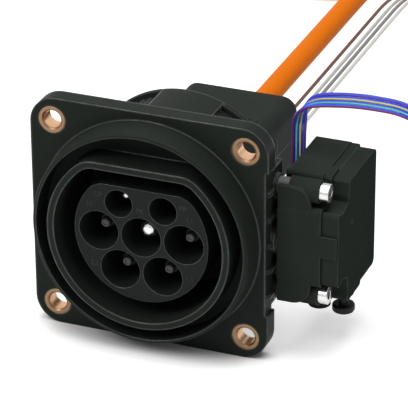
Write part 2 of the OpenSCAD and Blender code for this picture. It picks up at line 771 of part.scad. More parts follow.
module actuator_cover() {
    color("#202124") difference() {
        union() {
            difference() {
                along_x(split_x, act_end) act_outline(cover_inset);
                along_x(split_x - 1, act_end - act_wall) act_outline(cover_inset + cover_wall);
            }
            difference() {
                rod_z(knob_x, knob_y, knob_boss[0], -act_bottom - knob_boss[1], 1.5 - act_bottom);
                translate([split_x - 10, knob_y - 10, -act_bottom]) cube([10, 20, 5]);
            }
            intersection() {
                along_x(split_x, act_end) act_outline(cover_inset + 0.4);
                rod_x(spindle_y, 0, spindle_r + 1.2, act_end - act_wall - 0.6, act_end - 0.5);
            }
            rod_x(gate_at[0], gate_at[1], gate_mark[0], act_end - 0.5, act_end + gate_mark[1]);
        }
        rod_x(spindle_y, 0, spindle_r + run_gap, act_end - act_wall - 1, act_end - 0.7);
        rod_z(knob_x, knob_y, knob_shaft_r + run_gap, -act_bottom - 5, 5 - act_bottom);
    }
}

module actuator_screws() {
    color("#d4d6d9") for (z = [-1, 1] * screw_offset) difference() {
        union() {
            rod_x(bolt_y, z, screw_r, body_r - 3, head_x + 1);
            rod_x(bolt_y, z, screw_head_d / 2, head_x, head_x + head_h);
        }
        along_x(head_x + head_h - 2, head_x + head_h + 1) translate([bolt_y, z])
            circle(socket_key / sqrt(3), $fn = 6);
    }
}

module spacer_sleeves() {
    color("#2a2b2d") for (z = [-1, 1] * screw_offset) difference() {
        rod_x(bolt_y, z, sleeve_r, boss_end, ear_x);
        rod_x(bolt_y, z, screw_r + hole_gap, boss_end - 1, ear_x + 1);
    }
}

module bolt_seal() {
    color("#2b2d2c") difference() {
        rod_x(bolt_y, 0, bolt_r + 2.3, seal_x, act_x);
        rod_x(bolt_y, 0, bolt_r + 0.3, seal_x - 1, act_x + 1);
    }
}

module lead_exit_shape(rim) {
    translate([lead_y, lead_exit_z])
        rounded_rect(lead_exit_size[0] + 2 * rim, lead_exit_size[1] + 2 * rim, lead_exit_corner);
}

// Rubber exit for the leads, between the side of the housing and the cap's lip
module lead_grommet() {
    color("#222326") {
        along_x(lip_r + lip_gap, act_x) lead_exit_shape(lead_exit_rim);
        along_x(act_x, act_x + act_wall) lead_exit_shape(0);
    }
}

// Lock drive

// Bolt, carriage arm, spindle nut and rack in one piece
module lock_bolt() {
    bevel = 0.6;
    color("#b4b7bb") difference() {
        union() {
            turned_x(bolt_y, 0)
                polygon([[0, bolt_tip], [bolt_r - bevel, bolt_tip], [bolt_r, bolt_tip + bevel],
                    [bolt_r, carriage[0] + 1], [0, carriage[0] + 1]]);
            along_x(carriage[0], carriage[1]) {
                translate([bolt_y, 0]) rounded_rect(bolt_d, bolt_d, 1);
                translate([bolt_y, -arm_h / 2]) square([spindle_y - bolt_y, arm_h]);
                translate([spindle_y, 0]) circle(nut_r);
                translate([rack_y - dedendum - 2, release_z[0]]) square([2, -release_z[0]]);
            }
            along_z(release_z[0], release_z[1]) rack_shape();
        }
        rod_x(spindle_y, 0, spindle_r + run_gap, carriage[0] - 1, carriage[1] + 1);
    }
}

module spindle() {
    color("#9fa3a8") {
        rod_x(spindle_y, 0, spindle_r, act_x + 0.7, act_end - 0.8);
        along_x(gear_x[0], gear_x[1]) translate([spindle_y, 0]) gear_shape(spindle_teeth, 0);
    }
}

module drive_motor() {
    color("#a9adb2") difference() {
        turned_x(motor_y, 0)
            polygon([[0, motor_x[0]], [motor_r - 0.6, motor_x[0]], [motor_r, motor_x[0] + 0.6],
                [motor_r, motor_x[1] - 1], [motor_r - 1, motor_x[1] - 1], [motor_r - 1, motor_x[1] - 0.6],
                [2.4, motor_x[1] - 0.6], [2.4, motor_x[1]], [0, motor_x[1]]]);
        rod_x(motor_y, 0, shaft_r + run_gap, motor_x[1] - 5, motor_x[1] + 1);
    }
}

module motor_pinion() {
    color("#d9d6c8") {
        along_x(gear_x[0], gear_x[1]) translate([motor_y, 0]) gear_shape(pinion_teeth, 180 / pinion_teeth);
        rod_x(motor_y, 0, shaft_r, motor_x[1] - 4.8, gear_x[1]);
    }
}

// Idler between rack and knob: a tooth points into the rack's gap
module release_idler() {
    color("#d9d6c8") difference() {
        along_z(release_z[0], release_z[1]) translate([idler_x, idler_y]) gear_shape(idler_teeth, -90);
        rod_z(idler_x, idler_y, idler_pin_r + run_gap, release_z[0] - 1, release_z[1] + 1);
    }
}

// Gear on the knob's shaft, turned so that its teeth fall in the idler's gaps
module release_gear() {
    pitch_angle = 360 / idler_teeth;
    line_angle = atan2(knob_y - idler_y, knob_x - idler_x);
    ahead = ceil((line_angle + 90) / pitch_angle) * pitch_angle - 90 - line_angle;
    gap_angle = line_angle + 180 - ahead * idler_teeth / knob_teeth;
    color("#d9d6c8") difference() {
        along_z(release_z[0], release_z[1])
            translate([knob_x, knob_y]) gear_shape(knob_teeth, gap_angle + 180 / knob_teeth);
        rod_z(knob_x, knob_y, shaft_r, release_z[0] - 1, release_z[1] + 1);
    }
}

module release_knob() {
    color("#191a1b") difference() {
        union() {
            rod_z(knob_x, knob_y, shaft_r, release_z[0] - 1, release_z[1]);
            rod_z(knob_x, knob_y, knob_shaft_r, knob_z[1] - 0.5, release_z[0]);
            translate([knob_x, knob_y, 0]) rotate_extrude() polygon(concat(
                [[0, knob_z[0]]], arc(knob_d / 2 - 0.7, knob_z[0] + 0.7, 0.7, -90, 0, 4),
                arc(knob_d / 2 - 0.7, knob_z[1] - 0.7, 0.7, 0, 90, 4), [[0, knob_z[1]]]));
        }
        translate([knob_x - knob_d, knob_y - 0.5, knob_z[0] - 1]) cube([2 * knob_d, 1, 2]);
    }
}

module circuit_board() {
    inside = cover_inset + cover_wall + hole_gap;
    front = bolt_y + driver_r + inside;
    color("#2f6b43") translate([act_x + act_wall + hole_gap, front, board_z])
        cube([act_w - 2 * act_wall - 1, act_back - inside - front, board_t]);
}

// Sealed switch under the board, with its finger above the carriage's nut
module position_switch() {
    size = [6, 6, board_z - motor_r - 1];
    finger = [2, 1.6];
    color("#26282b") translate([carriage[0] - 1, spindle_y + 0.6, board_z - size[2]]) {
        cube(size);
        translate([2, 0.4, nut_r + 0.4 - board_z + size[2]])
            cube([finger[0], finger[1], board_z - size[2] - nut_r]);
    }
}

// Cords, their coils and ties

module main_cable() {
    route = [for (p = cable_route) [0, p[0], p[1]]];
    color("#ee7d1a") swept_tube(route, cable_d / 2, 12, [1, 0, 0]);
}

// Closed outer shape of a coil that lies on the floor
module coil_ring(centre, radii, z, h) {
    translate([centre[0], centre[1], z]) rotate_extrude()
        translate([radii[0], 0]) square([radii[1] - radii[0], h]);
}

module main_cable_coil() { color("#ee7d1a") coil_ring(cable_coil_c, cable_coil_r, cable_coil_z, cable_d); }

module signal_wires() {
    colours = ["#7a4a38", "#c9c8c6", "#8d8d8f", "#dcd8d0"];
    for (i = [0:3]) color(colours[i]) swept_tube(thinned(signal_wire(i)), wire_d / 2, 8, [1, 0, 0]);
}

module signal_coil() {
    color("#9a9796") coil_ring(signal_coil_c, signal_coil_r, signal_coil_z, 4 * signal_pitch);
}

module actuator_leads() {
    for (i = [0:3]) color("#3c48c8") swept_tube(thinned(lead_wire(i)), lead_d / 2, 8, [0, 1, 0]);
}

module lead_coil() { color("#3c48c8") coil_ring(lead_coil_c, lead_coil_r, lead_coil_z, 4 * lead_pitch); }

// Flat tie round one side of a coil
module coil_tie(centre, radii, z, h, angle) {
    gap = 0.3;
    w = radii[1] - radii[0] + 2 * gap;
    middle = (radii[0] + radii[1]) / 2;
    translate([centre[0], centre[1], z + h / 2]) rotate([0, 0, angle]) translate([middle, 0, 0])
        rotate([90, 0, 0]) linear_extrude(tie_w, center = true) difference() {
            square([w + 2 * tie_t, h + 2 * tie_t], center = true);
            square([w, h], center = true);
        }
}

module coil_ties() {
    color("#2a2b2d") {
        coil_tie(cable_coil_c, cable_coil_r, cable_coil_z, cable_d, 180);
        coil_tie(signal_coil_c, signal_coil_r, signal_coil_z, 4 * signal_pitch, 0);
        coil_tie(lead_coil_c, lead_coil_r, lead_coil_z, 4 * lead_pitch, 90);
    }
}

inlet_housing();
mounting_bushes();
contact_carrier();
power_pins();
touch_guards();
earth_pin();
pilot_pin();
proximity_pin();
contact_retainer();
body_screws();
carrier_seal();
body_gasket();
cap_upper();
cap_lower();
cap_screws();
cable_gland();
signal_grommet();
actuator_housing();
actuator_cover();
actuator_screws();
spacer_sleeves();
bolt_seal();
lead_grommet();
lock_bolt();
spindle();
drive_motor();
motor_pinion();
release_idler();
release_gear();
release_knob();
circuit_board();
position_switch();
main_cable();
main_cable_coil();
signal_wires();
signal_coil();
actuator_leads();
lead_coil();
coil_ties();
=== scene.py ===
"""Studio scene of a vehicle charge port inlet: finishes, marks, cords and light around its solids."""

from __future__ import annotations

import json
import logging
import math
from dataclasses import dataclass
from enum import Enum
from typing import Iterable, Sequence

import bpy
from mathutils import Matrix, Vector

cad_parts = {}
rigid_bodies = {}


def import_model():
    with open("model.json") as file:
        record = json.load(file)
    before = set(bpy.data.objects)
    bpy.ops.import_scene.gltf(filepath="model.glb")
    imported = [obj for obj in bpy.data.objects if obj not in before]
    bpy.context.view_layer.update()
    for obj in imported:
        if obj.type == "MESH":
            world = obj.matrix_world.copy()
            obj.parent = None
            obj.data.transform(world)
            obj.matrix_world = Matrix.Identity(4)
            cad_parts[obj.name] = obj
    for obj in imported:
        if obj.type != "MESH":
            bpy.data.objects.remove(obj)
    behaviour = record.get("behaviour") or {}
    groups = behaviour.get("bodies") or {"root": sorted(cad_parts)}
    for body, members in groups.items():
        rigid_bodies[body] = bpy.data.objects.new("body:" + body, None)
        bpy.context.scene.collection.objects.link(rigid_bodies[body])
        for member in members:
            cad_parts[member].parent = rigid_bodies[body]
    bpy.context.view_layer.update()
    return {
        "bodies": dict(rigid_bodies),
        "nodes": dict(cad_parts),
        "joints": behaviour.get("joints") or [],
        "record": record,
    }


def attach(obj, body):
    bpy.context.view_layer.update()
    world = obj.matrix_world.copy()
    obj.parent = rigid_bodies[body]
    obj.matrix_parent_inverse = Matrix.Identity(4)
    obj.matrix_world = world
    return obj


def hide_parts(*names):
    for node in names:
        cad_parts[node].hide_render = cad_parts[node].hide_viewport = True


LOG = logging.getLogger("charge_port_inlet")
MM = 0.001
ROOT_BODY = "inlet_body"
FLOOR_Z = -40 * MM
PHOTO_PIXELS = 408

Colour = tuple[float, float, float]
Point = tuple[float, float, float]
Socket = bpy.types.NodeSocket


class Relief(Enum):
    """How the fine relief of a finish runs over its surface."""

    GRAINED = "grained"
    TURNED_Y = "turned_y"
    STREAKED = "streaked"
    SMOOTH = "smooth"


class NodeGraph:
    """Small helper that adds and links the nodes of one material.

    Attributes:
        NOISE_ROUGHNESS: How much each octave of a noise adds to the one before.
        NOISE_LOW: Value near the low side of a noise.
        NOISE_HIGH: Value near the high side of a noise.
    """

    NOISE_ROUGHNESS = 0.55
    NOISE_LOW = 0.3
    NOISE_HIGH = 0.7

    def __init__(self, name: str) -> None:
        """Starts an empty material.

        Args:
            name: The material's name.
        """
        self.material = bpy.data.materials.new(name)
        self.material.use_nodes = True
        self.tree = self.material.node_tree
        self.tree.nodes.clear()
        self.output = self.add("ShaderNodeOutputMaterial")

    def add(
        self, kind: str, inputs: dict[str, object] | None = None, **settings: object
    ) -> bpy.types.Node:
        """Adds a node.

        Args:
            kind: The node's type name.
            inputs: Values for its unlinked sockets.
            **settings: Values for its own properties.

        Returns:
            The new node.
        """
        node = self.tree.nodes.new(kind)
        for key, value in settings.items():
            setattr(node, key, value)
        for key, value in (inputs or {}).items():
            node.inputs[key].default_value = value
        return node

    def link(self, source: Socket, target: Socket) -> None:
        """Links two sockets."""
        self.tree.links.new(source, target)

    def noise(self, vector: Socket, scale: float, detail: float = 2.0) -> Socket:
        """Adds a noise texture.

        Args:
            vector: The coordinates it reads.
            scale: Cells per metre.
            detail: Number of octaves.

        Returns:
            Its value socket.
        """
        node = self.add(
            "ShaderNodeTexNoise", {"Scale": scale, "Detail": detail, "Roughness": self.NOISE_ROUGHNESS}
        )
        self.link(vector, node.inputs["Vector"])
        return node.outputs["Fac"]

    def mapped(
        self, value: Socket, start: float, end: float, low: float = 0.0, high: float = 1.0
    ) -> Socket:
        """Maps a value from one range onto another and holds it there.

        Args:
            value: The value.
            start: Value that gives the low result.
            end: Value that gives the high result.
            low: Result at the start.
            high: Result at the end.

        Returns:
            The mapped socket.
        """
        node = self.add(
            "ShaderNodeMapRange", {"From Min": start, "From Max": end, "To Min": low, "To Max": high}
        )
        self.link(value, node.inputs["Value"])
        return node.outputs["Result"]

    def ranged(self, value: Socket, low: float, high: float) -> Socket:
        """Returns a noise value mapped onto a range."""
        return self.mapped(value, self.NOISE_LOW, self.NOISE_HIGH, low, high)

    def blended(self, factor: Socket, first: Colour | Socket, second: Colour) -> Socket:
        """Blends two colours.

        Args:
            factor: Share of the second colour.
            first: Colour or colour socket at 0.
            second: Colour at 1.

        Returns:
            The blended colour socket.
        """
        node = self.add("ShaderNodeMixRGB")
        self.link(factor, node.inputs["Fac"])
        for key, colour in (("Color1", first), ("Color2", second)):
            if isinstance(colour, tuple):
                node.inputs[key].default_value = (*colour, 1.0)
            else:
                self.link(colour, node.inputs[key])
        return node.outputs["Color"]

    def product(self, first: Socket, second: Socket) -> Socket:
        """Multiplies two values.

        Args:
            first: One value.
            second: The other value.

        Returns:
            The socket of their product.
        """
        node = self.add("ShaderNodeMath", operation="MULTIPLY")
        self.link(first, node.inputs[0])
        self.link(second, node.inputs[1])
        return node.outputs["Value"]


@dataclass(frozen=True)
class EdgeWearAndHighlight:
    """Lighter edge colour, the same for every finish: partly wear along exposed edges and partly a
    painted highlight.

    Attributes:
        starts: Cosine between the rounded and the face's own normal at which an edge starts.
        full: Cosine at which an edge is full.
        air_reach: Distance within which other faces shelter an edge, in metres.
        sheltered: Open share at which the lighter edge colour starts; on more sheltered edges the painted
            highlight is taken out, which paints shade there.
        exposed: Open share at which the lighter edge colour is full.
        patch: Size of the patches that break the lighter edge colour up, in metres.
        least: Share of the lighter edge colour that is left between those patches.
        polish: Roughness of the gloss on the lighter edges.
    """

    starts: float = 0.96
    full: float = 0.74
    air_reach: float = 9 * MM
    sheltered: float = 0.2
    exposed: float = 0.6
    patch: float = 3 * MM
    least: float = 0.55
    polish: float = 0.2

    def mask(self, graph: NodeGraph, rounded: Socket, place: Socket) -> Socket:
        """Finds the exposed edges, where the rounded normal leaves the face's own, for the wear and the
        painted highlight.

        Args:
            graph: The material's graph.
            rounded: The rounded normal.
            place: Coordinates on the object.

        Returns:
            A socket that is 0 on faces and up to 1 on edges.
        """
        own = graph.add("ShaderNodeNewGeometry").outputs["Normal"]
        facing = graph.add("ShaderNodeVectorMath", operation="DOT_PRODUCT")
        graph.link(rounded, facing.inputs[0])
        graph.link(own, facing.inputs[1])
        edge = graph.mapped(facing.outputs["Value"], self.starts, self.full)
        # On sheltered edges the painted highlight fades out, which paints shade there.
        open_to_air = graph.add("ShaderNodeAmbientOcclusion", {"Distance": self.air_reach}, samples=6)
        reached = graph.mapped(open_to_air.outputs["AO"], self.sheltered, self.exposed)
        broken = graph.ranged(graph.noise(place, 1 / self.patch), self.least, 1.0)
        return graph.product(graph.product(edge, broken), reached)


@dataclass(frozen=True)
class Finish:
    """A surface finish, with its colour, gloss and fine relief.

    Attributes:
        STRETCH: Scale along each axis of a relief that runs one way.
        SMOOTH_CELLS: How many times its grain a smooth relief's cells are.
        WEAR_AND_HIGHLIGHT: How edges wear and where a highlight is painted on them.
        name: Name of the material.
        colour: Base colour, linear.
        roughness: Mean roughness.
        metallic: 1 for bare metal.
        relief: How the relief runs.
        grain: Size of the relief's cells, in metres.
        depth: Depth of the relief, in metres.
        mottle: Share by which the colour varies.
        patch: Size of the colour's patches, in metres.
        spread: Half range of the roughness.
        specular: Specular level of the shader.
        coat: Weight of the gloss on the lighter edges.
        edge: Radius to which sharp edges look rounded, in metres.
        wear_and_highlight: Colour of the lighter edges, linear: partly wear and partly a painted
            highlight.
    """

    STRETCH = {Relief.STREAKED: (0.06, 1.0, 1.0), Relief.TURNED_Y: (0.05, 1.0, 0.05)}
    SMOOTH_CELLS = 8
    WEAR_AND_HIGHLIGHT = EdgeWearAndHighlight()

    name: str
    colour: Colour
    roughness: float
    metallic: float = 0.0
    relief: Relief = Relief.GRAINED
    grain: float = 0.35 * MM
    depth: float = 0.02 * MM
    mottle: float = 0.12
    patch: float = 9 * MM
    spread: float = 0.05
    specular: float = 0.5
    coat: float = 0.9
    edge: float = 0.35 * MM
    # Lighter edge colour: partly wear and partly a painted highlight.
    wear_and_highlight: Colour = (0.2, 0.212, 0.204)

    def material(self) -> bpy.types.Material:
        """Builds the finish as a node material, once.

        Returns:
            The material.
        """
        title = f"finish_{self.name}"
        known = bpy.data.materials.get(title)
        if known is not None:
            return known
        graph = NodeGraph(title)
        place = graph.add("ShaderNodeTexCoord").outputs["Object"]
        shader = graph.add(
            "ShaderNodeBsdfPrincipled",
            {
                "Metallic": self.metallic,
                "Specular IOR Level": self.specular,
                "Coat Roughness": self.WEAR_AND_HIGHLIGHT.polish,
            },
        )
        fine = self.fine_pattern(graph, place)
        gloss = graph.ranged(fine, self.roughness - self.spread, self.roughness + self.spread)
        graph.link(gloss, shader.inputs["Roughness"])
        rounded = graph.add("ShaderNodeBevel", {"Radius": self.edge}, samples=8).outputs["Normal"]
        # Edges get the lighter colour, partly wear and partly a painted highlight.
        edges = self.WEAR_AND_HIGHLIGHT.mask(graph, rounded, place)
        graph.link(graph.blended(edges, self.faces(graph, place), self.wear_and_highlight), shader.inputs["Base Color"])
        if not self.metallic:
            graph.link(graph.mapped(edges, 0.0, 1.0, high=self.coat), shader.inputs["Coat Weight"])
            graph.link(rounded, shader.inputs["Coat Normal"])
        bump = graph.add("ShaderNodeBump", {"Strength": 1.0, "Distance": self.depth})
        graph.link(rounded, bump.inputs["Normal"])
        graph.link(fine, bump.inputs["Height"])
        graph.link(bump.outputs["Normal"], shader.inputs["Normal"])
        graph.link(shader.outputs["BSDF"], graph.output.inputs["Surface"])
        return graph.material

    def faces(self, graph: NodeGraph, place: Socket) -> Socket:
        """Builds the mottled colour of the faces.

        Args:
            graph: The material's graph.
            place: Coordinates on the object.

        Returns:
            The colour socket.
        """
        patches = graph.noise(place, 1 / self.patch)
        dark = tuple(c * (1 - self.mottle) for c in self.colour)
        light = tuple(min(1.0, c * (1 + self.mottle)) for c in self.colour)
        return graph.blended(patches, dark, light)

    def fine_pattern(self, graph: NodeGraph, place: Socket) -> Socket:
        """Builds the pattern of the fine relief.

        Args:
            graph: The material's graph.
            place: Coordinates on the object.

        Returns:
            The pattern's value socket.
        """
        if self.relief is Relief.SMOOTH:
            return graph.noise(place, 1 / (self.SMOOTH_CELLS * self.grain), detail=1.0)
        if self.relief is Relief.GRAINED:
            return graph.noise(place, 1 / self.grain, detail=3.0)
        stretch = graph.add("ShaderNodeMapping", {"Scale": self.STRETCH[self.relief]})
        graph.link(place, stretch.inputs["Vector"])
        return graph.noise(stretch.outputs["Vector"], 1 / self.grain)


@dataclass(frozen=True)
class BushFinish(Finish):
    """Metal of a bush, with dull end faces and an inner wall painted far brighter, a painted highlight.

    Attributes:
        bore_highlight: Colour of the inner wall, linear, a painted highlight.
        end_face: Lengthwise share of the normal at which the end face's colour ends.
        bore_wall: Lengthwise share of the normal at which the painted highlight on the inner wall is
            full.
    """

    # Painted highlight: the inner wall is coloured far brighter than the end faces.
    bore_highlight: Colour = (0.95, 0.6, 0.36)
    end_face: float = 0.7
    bore_wall: float = 0.3

    def faces(self, graph: NodeGraph, place: Socket) -> Socket:
        """Builds the colour of the end faces and the painted highlight of the inner wall, told apart by
        the way they face on the object.

        Args:
            graph: The material's graph.
            place: Coordinates on the object.

        Returns:
            The colour socket.
        """
        facing = graph.add("ShaderNodeSeparateXYZ")
        graph.link(graph.add("ShaderNodeTexCoord").outputs["Normal"], facing.inputs["Vector"])
        lengthwise = graph.add("ShaderNodeMath", operation="ABSOLUTE")
        graph.link(facing.outputs["Y"], lengthwise.inputs[0])
        in_bore = graph.mapped(lengthwise.outputs["Value"], self.end_face, self.bore_wall)
        return graph.blended(in_bore, super().faces(graph, place), self.bore_highlight)


class Finishes:
    """Every finish of the part, by the record's slot names and for the cords."""

    HOUSING = Finish(
        "housing_plastic", (0.0199, 0.0247, 0.021), 0.4, specular=0.04, coat=1.0, edge=1.4 * MM,
        wear_and_highlight=(0.1, 0.107, 0.102),
    )
    CARRIER = Finish("carrier_plastic", (0.0184, 0.0228, 0.0199), 0.48, specular=0.06, edge=0.5 * MM)
    CAP = Finish(
        "cap_plastic", (0.029, 0.0342, 0.0305), 0.46, specular=0.01, coat=0.5, edge=0.8 * MM,
        wear_and_highlight=(0.09, 0.097, 0.092),
    )
    ACTUATOR = Finish(
        "actuator_plastic", (0.029, 0.036, 0.03), 0.5, specular=0.0, coat=0.3, edge=0.8 * MM,
        wear_and_highlight=(0.075, 0.083, 0.077),
    )
    SLEEVE = Finish(
        "sleeve_plastic", (0.095, 0.098, 0.095), 0.4, grain=0.25 * MM, depth=0.012 * MM, specular=0.3,
        wear_and_highlight=(0.2, 0.205, 0.2),
    )
    MARKING = Finish("marking_plastic", (0.024, 0.0262, 0.025), 0.42, specular=0.2, edge=0.05 * MM)
    BRASS = BushFinish(
        "bush_brass", (0.27, 0.165, 0.092), 0.36, metallic=1.0, relief=Relief.TURNED_Y, grain=0.12 * MM,
        depth=0.008 * MM, mottle=0.1, patch=3 * MM, spread=0.08, wear_and_highlight=(0.5, 0.33, 0.2),
    )
    PIN = Finish(
        "pin_metal", (0.8, 0.81, 0.82), 0.26, metallic=1.0, relief=Relief.TURNED_Y, grain=0.1 * MM,
        depth=0.004 * MM, mottle=0.04, patch=2 * MM, spread=0.05, wear_and_highlight=(0.86, 0.86, 0.86),
    )
    # Painted shade: a near-black copy of the pin metal, for the power pins that sit in the shade of deep
    # sockets.
    PAINTED_SHADE_PIN = Finish(
        "shaded_pin_metal", (0.022, 0.022, 0.023), 0.5, metallic=1.0, relief=Relief.TURNED_Y,
        grain=0.1 * MM, depth=0.004 * MM, mottle=0.06, patch=2 * MM, spread=0.06, wear_and_highlight=(0.03, 0.03, 0.03),
    )
    GUARD = Finish(
        "guard_plastic", (0.12, 0.125, 0.122), 0.4, grain=0.2 * MM, depth=0.008 * MM, specular=0.25,
        edge=0.25 * MM, wear_and_highlight=(0.2, 0.21, 0.2),
    )
    SCREW = Finish(
        "screw_steel", (0.7, 0.7, 0.69), 0.26, metallic=1.0, relief=Relief.STREAKED, grain=0.15 * MM,
        depth=0.005 * MM, mottle=0.06, patch=2 * MM, spread=0.07, wear_and_highlight=(0.84, 0.84, 0.82),
    )
    RUBBER = Finish(
        "seal_rubber", (0.008, 0.008, 0.008), 0.6, grain=0.25 * MM, specular=0.2, wear_and_highlight=(0.02, 0.02, 0.02),
    )
    BOLT = Finish(
        "bolt_steel", (0.5, 0.51, 0.52), 0.3, metallic=1.0, relief=Relief.STREAKED, grain=0.14 * MM,
        depth=0.006 * MM, mottle=0.06, patch=3 * MM, spread=0.07, wear_and_highlight=(0.68, 0.68, 0.68),
    )
    MOTOR = Finish(
        "motor_steel", (0.44, 0.45, 0.46), 0.34, metallic=1.0, relief=Relief.STREAKED, grain=0.2 * MM,
        depth=0.006 * MM, mottle=0.08, patch=4 * MM, spread=0.08, wear_and_highlight=(0.6, 0.6, 0.6),
    )
    GEAR = Finish(
        "gear_plastic", (0.66, 0.64, 0.56), 0.42, grain=0.25 * MM, depth=0.006 * MM, mottle=0.05,
        edge=0.1 * MM, wear_and_highlight=(0.74, 0.72, 0.66),
    )
    KNOB = Finish(
        "knob_plastic", (0.0055, 0.0055, 0.0058), 0.4, grain=0.25 * MM, depth=0.012 * MM, specular=0.2,
    )
    BOARD = Finish(
        "board_laminate", (0.03, 0.14, 0.06), 0.3, grain=0.3 * MM, depth=0.006 * MM, mottle=0.2,
        edge=0.1 * MM, wear_and_highlight=(0.12, 0.2, 0.1),
    )
    CABLE = Finish(
        "cable_jacket", (0.86, 0.19, 0.002), 0.5, relief=Relief.SMOOTH, grain=0.5 * MM, depth=0.02 * MM,
        mottle=0.06, patch=14 * MM, specular=0.06, coat=0.0, wear_and_highlight=(0.85, 0.2, 0.03),
    )
    COPPER = Finish(
        "copper_strands", (0.78, 0.36, 0.2), 0.35, metallic=1.0, grain=0.4 * MM, depth=0.1 * MM,
        mottle=0.2, patch=1 * MM, wear_and_highlight=(0.8, 0.42, 0.26),
    )
    BY_SLOT = {
        finish.name: finish
        for finish in (
            HOUSING, CARRIER, CAP, ACTUATOR, BRASS, PIN, GUARD, SCREW, RUBBER, BOLT, MOTOR, GEAR, KNOB,
            BOARD, CABLE,
        )
    }

    @staticmethod
    def insulation(name: str, colour: Colour) -> Finish:
        """Returns the smooth finish of one wire's insulation."""
        return Finish(
            f"insulation_{name}", colour, 0.36, relief=Relief.SMOOTH, grain=0.3 * MM, depth=0.006 * MM,
            mottle=0.05, patch=6 * MM, specular=0.35, edge=0.1 * MM, wear_and_highlight=colour,
        )


@dataclass(frozen=True)
class PhotoView:
    """The photograph's camera, as it was fitted to the mounting bushes and rings.

    Attributes:
        azimuth: Degrees round the part, towards +X.
        elevation: Degrees above the horizon.
        roll: Degrees about the line of sight.
        distance: Distance from the part's origin, in metres.
        focal_pixels: Focal length in the photograph's pixels.
        right: Offset of the camera to its right, in metres.
        up: Offset of the camera upwards, in metres.
    """

    azimuth: float = 21.728
    elevation: float = 26.892
    roll: float = -0.354
    distance: float = 900 * MM
    focal_pixels: float = 2859.178
    right: float = 17.3 * MM
    up: float = 7.758 * MM

    def build(self) -> bpy.types.Object:
        """Makes the camera and sets it as the scene's.

        Returns:
            The camera object.
        """
        azimuth, elevation, roll = (math.radians(v) for v in (self.azimuth, self.elevation, self.roll))
        level = Vector((math.cos(azimuth), math.sin(azimuth), 0.0))
        back = Vector(
            (
                math.sin(azimuth) * math.cos(elevation),
                -math.cos(azimuth) * math.cos(elevation),
                math.sin(elevation),
            )
        )
        upright = back.cross(level)
        right = level * math.cos(roll) + upright * math.sin(roll)
        up = upright * math.cos(roll) - level * math.sin(roll)
        data = bpy.data.cameras.new("photo_camera")
        data.sensor_fit = "HORIZONTAL"
        data.sensor_width = 36.0
        data.lens = self.focal_pixels / PHOTO_PIXELS * data.sensor_width
        data.clip_start = 0.05
        data.clip_end = 20.0
        camera = bpy.data.objects.new("photo_camera", data)
        bpy.context.scene.collection.objects.link(camera)
        place = right * self.right + up * self.up + back * self.distance
        turn = Matrix((right, up, back)).transposed().to_4x4()
        camera.matrix_world = Matrix.Translation(place) @ turn
        bpy.context.scene.camera = camera
        return camera


def scaled(points: Iterable[Sequence[float]]) -> list[Vector]:
    """Returns points given in millimetres as vectors in metres."""
    return [Vector(p) * MM for p in points]


def path_length(points: Sequence[Vector]) -> float:
    """Returns the length of a line through points."""
    return sum((b - a).length for a, b in zip(points, points[1:]))


def smooth_line(points: Sequence[Vector], step: float) -> list[Vector]:
    """Draws a smooth line through given points.

    Args:
        points: The route's points, each apart from the next.
        step: Distance between the line's own points.

    Returns:
        The line's points, with the first and last of the route.
    """
    line: list[Vector] = []
    last = len(points) - 1
    for i in range(last):
        before, start = points[max(i - 1, 0)], points[i]
        end, after = points[i + 1], points[min(i + 2, last)]
        span = (end - start).length
        pull_out = (end - before) * (span / ((start - before).length + span))
        pull_in = (after - start) * (span / ((after - end).length + span))
        count = max(2, round(span / step))
        for k in range(count):
            t = k / count
            line.append(
                start * (2 * t**3 - 3 * t**2 + 1)
                + pull_out * (t**3 - 2 * t**2 + t)
                + end * (3 * t**2 - 2 * t**3)
                + pull_in * (t**3 - t**2)
            )
    line.append(points[last].copy())
    return line


class Turning(Enum):
    """The way a coil is wound, seen from above."""

    AGAINST_CLOCK = 1
    WITH_CLOCK = -1


@dataclass(frozen=True)
class FloorCoil:
    """A flat spiral in which a cord's unseen length lies on the floor.

    Attributes:
        OVERSHOOT: Length by which the last point may pass the cord's end, in metres.
        centre: Centre in X and Y, in metres.
        radius: Radius at which the cord comes in, in metres.
        pitch: How far each turn lies inside the last, in metres.
        turning: The way it is wound.
        start: Angle at which the cord comes in, in degrees.
    """

    OVERSHOOT = 1e-6

    centre: tuple[float, float]
    radius: float
    pitch: float
    turning: Turning
    start: float

    def points(self, height: float, length: float, step: float) -> list[Vector]:
        """Winds a length of cord.

        Args:
            height: Level of the cord's middle.
            length: Length to wind.
            step: Distance between points.

        Returns:
            The points after the one where the cord comes in.
        """
        wound: list[Vector] = []
        angle, done = 0.0, 0.0
        previous = self.at(0.0, height)
        while done < length:
            angle += min(step, length - done + self.OVERSHOOT) / self.radius_at(angle)
            point = self.at(angle, height)
            done += (point - previous).length
            wound.append(point)
            previous = point
        return wound

    def radius_at(self, angle: float) -> float:
        """Returns the spiral's radius at a wound angle, in radians."""
        return self.radius - self.pitch * angle / math.tau

    def at(self, angle: float, height: float) -> Vector:
        """Finds a point of the spiral.

        Args:
            angle: The wound angle, in radians.
            height: Level of the cord's middle.

        Returns:
            The point.
        """
        radius = self.radius_at(angle)
        turned = math.radians(self.start) + self.turning.value * angle
        x = self.centre[0] + radius * math.cos(turned)
        y = self.centre[1] + radius * math.sin(turned)
        return Vector((x, y, height))


class CordFace(Enum):
    """Kinds of a cord's faces, as places in its list of materials."""

    JACKET = 0
    STRIPE = 1
    CORE = 2


class Stiffness(Enum):
    """How stiff a cord is."""

    LIMP = "limp"
    MEDIUM = "medium"


